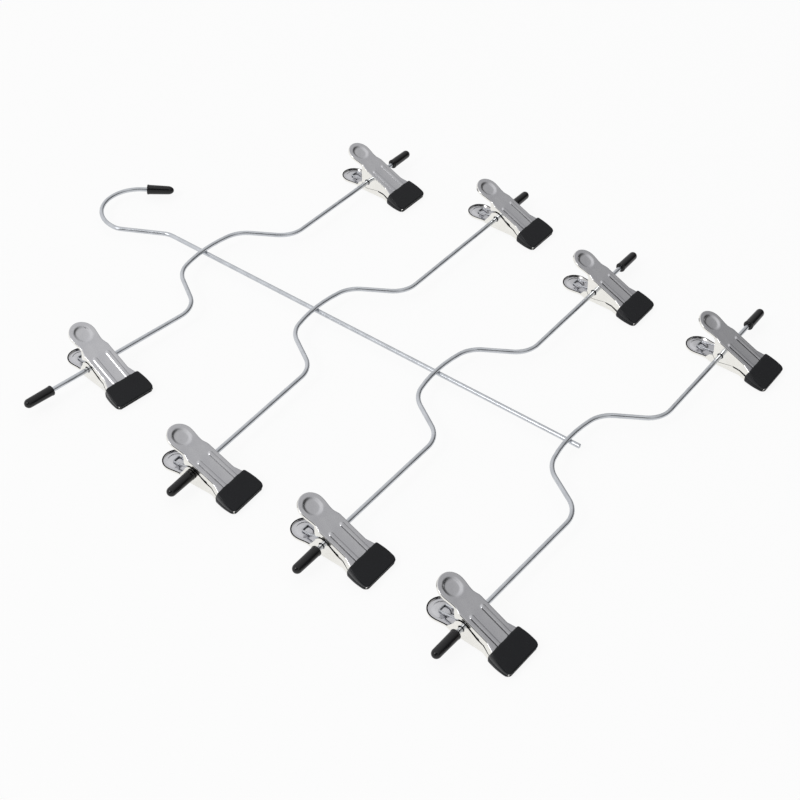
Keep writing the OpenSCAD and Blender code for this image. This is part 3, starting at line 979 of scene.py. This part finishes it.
def tip_section(side_r, at, shrink_side, shrink_top, shrink_low):
    half = tip_half(at) - shrink_side
    top = FACE + TIP_WALL - shrink_top
    low = mid_height(at) + shrink_low
    ring = []
    high_r = min(side_r, (top - low) * 0.45)
    low_r = min(TIP_LOW_R, (top - low) * 0.3)
    for k in range(TOP_STEPS + 1):
        u = (half - high_r) * (1 - 2 * k / TOP_STEPS)
        ring.append([u, at, top])
    for k in range(1, SECTION_STEPS + 1):
        a = pi / 2 * k / SECTION_STEPS
        ring.append([-(half - high_r) - high_r * sin(a), at, top - high_r * (1 - cos(a))])
    for k in range(1, SECTION_STEPS + 1):
        a = pi / 2 * k / SECTION_STEPS
        ring.append([-half + low_r * (1 - cos(a)), at, low + low_r * (1 - sin(a))])
    for k in range(1, LOW_STEPS + 1):
        ring.append([-(half - low_r) * (1 - 2 * k / LOW_STEPS), at, low])
    for k in range(1, SECTION_STEPS + 1):
        a = pi / 2 * k / SECTION_STEPS
        ring.append([half - low_r * (1 - sin(a)), at, low + low_r * (1 - cos(a))])
    for k in range(1, SECTION_STEPS):
        a = pi / 2 * k / SECTION_STEPS
        ring.append([half - high_r * (1 - cos(a)), at, top - high_r * (1 - sin(a))])
    fade = min(max(between(at, -TIP_REACH - 6, -TIP_REACH), 0), 1)
    for point in ring:
        away = abs(abs(point[0]) - RIB_PLACE) / (RIB_W / 2 + 1.0)
        bump = 0.5 * (1 + cos(pi * min(away, 1)))
        if point[2] > low + 1 and abs(point[0]) < half - high_r + 0.01:
            point[1] += TIP_WAVE * bump * fade
    return ring


# %% A tip's mesh
def tip_mesh(name, side_r):
    front = -JAW - TIP_WALL
    rows = []
    for k in range(0, 7):
        a = pi / 2 * k / 6
        depth = TIP_CORNER * (1 - cos(a))
        edge = max(TIP_TOP_R - depth, 0)
        top_in = TIP_TOP_R - sqrt(max(TIP_TOP_R**2 - edge**2, 0))
        low_in = min(top_in, 0.3)
        rows.append((front + depth, TIP_CORNER * (1 - sin(a)), min(top_in, 0.75), low_in))
    back = -TIP_REACH - TIP_BACK_CORNER
    rows += [(at, 0, 0, 0) for at in spread(front + TIP_CORNER + 1, back, 9)]
    for a in (0, 20, 40, 60, 75, 90):
        at = back + TIP_BACK_CORNER * sin(radians(a))
        drawn_in = 1 - cos(radians(a))
        lip = TIP_LIP * drawn_in
        rows.append((at, TIP_BACK_CORNER * 0.8 * drawn_in, lip, lip))
    rings = [tip_section(side_r, *row) for row in rows]
    around = len(rings[0])
    points = [p for ring in rings for p in ring]
    faces = []
    for i in range(len(rings) - 1):
        for k in range(around):
            a, b = i * around + k, i * around + (k + 1) % around
            faces.append((a, b, b + around, a + around))
    faces.append(tuple(range(around)))
    faces.append(tuple((len(rings) - 1) * around + k for k in range(around)))
    return make_mesh(name, points, faces, None, [TIP_VINYL])


front_tip = in_clip(tip_mesh("front_tip_mesh", TIP_TOP_R), "front")
back_tip = in_clip(tip_mesh("back_tip_mesh", TIP_FLOOR_R), "back")
print("tip faces:", len(front_tip.polygons))

# %% [markdown]
# ## Spring
# One wire makes both coils: it starts under the front lever, winds round the bar, crosses
# over on the back pad, and winds back to the front lever on the other side. Each clip gets a
# copy of it, fixed where it sits in the closed clip.

# %% The spring's path
SPRING_WIRE, SPRING_R, SPRING_PITCH, SPRING_TURNS = 1.1, 2.55, 1.55, 2
SPRING_START, SPRING_REACH, SPRING_LEG = 3, 20, 14
SPRING_BEND, SPRING_GAP = 1.5, 0.1
COIL_STEP = 15


def spring_path():
    sink = INNER_FACE - DIMPLE_DEPTH - SPRING_GAP - SPRING_WIRE / 2
    rise = INNER_FACE - SPRING_GAP - SPRING_WIRE / 2
    bight = Vector(turned((SPRING_REACH, -sink), -TILT))
    leg = Vector(turned((SPRING_LEG, rise), TILT))
    start = touch(bight, SPRING_R, -1)
    end = touch(leg, SPRING_R, 1)
    sweep = 360 * (SPRING_TURNS + 1) + start - end
    last = SPRING_START + SPRING_PITCH * sweep / 360
    round_in = Vector((SPRING_R * cos(radians(start)), SPRING_R * sin(radians(start))))
    arm = (round_in - bight).normalized()
    half = []
    for k in range(0, 7):
        a = pi / 2 * k / 6
        spot = bight + arm * SPRING_BEND * (1 - cos(a))
        half.append((SPRING_START - SPRING_BEND * (1 - sin(a)), *spot))
    half.append((SPRING_START, *(bight + (round_in - bight) * 0.5)))
    count = round(sweep / COIL_STEP)
    for k in range(count + 1):
        a = radians(start - sweep * k / count)
        across = SPRING_START + (last - SPRING_START) * k / count
        half.append((across, SPRING_R * cos(a), SPRING_R * sin(a)))
    half.append((last, *leg))
    return [(-u, s, h) for u, s, h in reversed(half)] + half


points, faces = tube(spring_path(), SPRING_WIRE, ring=12, end_round=0.15)
spring = make_mesh("spring_mesh", points, faces, None, [SPRING_STEEL])
spring.transform(Matrix.Rotation(radians(TILT), 4, "X"))
spring = finish_mesh(spring)
print("spring faces:", len(spring.polygons))

# %% [markdown]
# ## Assembling the clips
# The clips share the same few meshes. Each piece is put on its bar by the place and direction
# of that clip's hinge.

# %% Clips on their bars
PIECES = {
    "front_lever": (front_lever, "front", "plated_sheet"),
    "back_lever": (back_lever, "back", "plated_sheet"),
    "front_tip": (front_tip, "front", "black_vinyl"),
    "back_tip": (back_tip, "back", "black_vinyl"),
}
TURNED_OVER = ("clip_1_right", "clip_3_right", "clip_4_right")
TURNED_LEVERS = {"front_lever": turned_front_lever, "back_lever": turned_back_lever}


def place_spring(clip, matrix):
    """Puts a copy of the spring in a clip's place and hides the spring's solid. It rides on no body."""
    piece = bpy.data.objects.new(f"{clip}_spring".replace("_", "-"), spring.copy())
    bpy.context.scene.collection.objects.link(piece)
    piece.matrix_world = matrix
    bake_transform(piece)
    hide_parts(f"{clip}_spring")


for clip, matrix in CLIPS.items():
    place_spring(clip, matrix)
    for part, (mesh, body, slot_name) in PIECES.items():
        if clip in TURNED_OVER:
            mesh = TURNED_LEVERS.get(part, mesh)
        node = f"{clip}_{part}"
        place_piece(node.replace("_", "-"), mesh, f"{clip}_{body}", node, matrix)
print("clip pieces:", len(CLIPS) * (len(PIECES) + 1))

# %% [markdown]
# ## Floor and light
# The scene has a white floor, which glows a little where the metal mirrors it. The metal
# mirrors the room too, which is what gives it its shape.

# %% Floor
FLOOR_HALF, FLOOR_DROP = 6, 0.0002
FLOOR_SHADE = 0.1
MIRRORED_GLOW = 0.85


def maths(tree, operation, first, second):
    return add_node(tree, "ShaderNodeMath", {0: first, 1: second}, operation=operation).outputs[0]


def white_floor():
    material = bpy.data.materials.new("white_table")
    material.use_nodes = True
    tree = material.node_tree
    tree.nodes.clear()
    matt = add_node(tree, "ShaderNodeBsdfDiffuse", {"Color": linear("#F4F4F4")})
    glow = add_node(tree, "ShaderNodeEmission", {"Color": (1, 1, 1, 1), "Strength": 1.0})
    path = add_node(tree, "ShaderNodeLightPath")
    mirrored = maths(tree, "MULTIPLY", path.outputs["Is Glossy Ray"], MIRRORED_GLOW)
    seen = maths(tree, "MULTIPLY", path.outputs["Is Camera Ray"], 1 - FLOOR_SHADE)
    share = maths(tree, "MAXIMUM", seen, mirrored)
    mix = add_node(tree, "ShaderNodeMixShader", {0: share, 1: matt.outputs[0], 2: glow.outputs[0]})
    close_material(tree, mix.outputs[0])
    return material


floor_mesh = bpy.data.meshes.new("floor")
corners = [(x * FLOOR_HALF, y * FLOOR_HALF, 0) for x, y in ((-1, -1), (1, -1), (1, 1), (-1, 1))]
floor_mesh.from_pydata(corners, [], [(0, 1, 2, 3)])
floor_mesh.materials.append(white_floor())
floor = bpy.data.objects.new("floor", floor_mesh)
floor.location.z = -FLOOR_DROP
bpy.context.scene.collection.objects.link(floor)
print("floor:", 2 * FLOOR_HALF, "m wide")


# %% [markdown]
# The room is bright on one side and falls off to the dark side. Two dark patches in it, the
# camera's side and the far left, give the metal its dark lines. Each patch is a direction,
# and the angles at which it begins and is full.

# %% World and lamps
DARK_SIDE = Vector((0.6, -0.6, -0.53)).normalized()
ROOM = [(-1.0, 1.0), (-0.3, 0.88), (-0.1, 0.74), (0.06, 0.64), (0.15, 0.56)]
ROOM += [(0.22, 0.52), (0.3, 0.44), (0.45, 0.18), (0.7, 0.07), (1.0, 0.05)]
DARK_PATCHES = [((-0.58, -0.42, 0.70), (21.5, 17)), ((-0.93, -0.12, 0.33), (19, 14))]
PATCH_LIGHT = 0.04
LAMP_SIDE = (-0.74, 0.2, 0.64)
LAMP_AWAY = 3.0


def facing(tree, where, direction):
    node = add_node(tree, "ShaderNodeVectorMath", {0: where}, operation="DOT_PRODUCT")
    node.inputs[1].default_value = direction
    return node.outputs["Value"]


def studio_world():
    world = bpy.data.worlds.new("studio")
    world.use_nodes = True
    tree = world.node_tree
    tree.nodes.clear()
    where = add_node(tree, "ShaderNodeTexCoord").outputs["Generated"]
    share = ramp(tree, facing(tree, where, DARK_SIDE), 0, 1, -1, 1)
    room = add_node(tree, "ShaderNodeValToRGB", {"Fac": share})
    stops = room.color_ramp.elements
    while len(stops) > 1:
        stops.remove(stops[-1])
    for k, (at, light) in enumerate(ROOM):
        stop = stops[0] if k == 0 else stops.new((at + 1) / 2)
        stop.position = (at + 1) / 2
        stop.color = (light, light, light, 1)
    shades = []
    for middle, angles in DARK_PATCHES:
        near = facing(tree, where, Vector(middle).normalized())
        edge, core = (cos(radians(a)) for a in angles)
        shades.append(ramp(tree, near, 1.0, PATCH_LIGHT, edge, core))
    strength = maths(tree, "MULTIPLY", *shades)
    seen = add_node(tree, "ShaderNodeLightPath").outputs["Is Camera Ray"]
    lit = add_node(tree, "ShaderNodeBackground", {"Color": room.outputs["Color"], "Strength": strength})
    white = add_node(tree, "ShaderNodeBackground", {"Color": (1, 1, 1, 1), "Strength": 1.0})
    mix = add_node(tree, "ShaderNodeMixShader", {0: seen, 1: lit.outputs[0], 2: white.outputs[0]})
    add_node(tree, "ShaderNodeOutputWorld", {"Surface": mix.outputs[0]})
    bpy.context.scene.world = world


def soft_lamp(name, size, power):
    light = bpy.data.lights.new(name, "AREA")
    light.shape = "SQUARE"
    light.size = size
    light.energy = power
    lamp = bpy.data.objects.new(name, light)
    aim = Vector(LAMP_SIDE).normalized()
    lamp.location = aim * LAMP_AWAY
    lamp.rotation_euler = (-aim).to_track_quat("-Z", "Y").to_euler()
    bpy.context.scene.collection.objects.link(lamp)


studio_world()
soft_lamp("window_side", 0.9, 12)
soft_lamp("small_lamp", 0.15, 2)
bpy.context.scene.view_settings.view_transform = "Standard"
print("lamps:", 2)
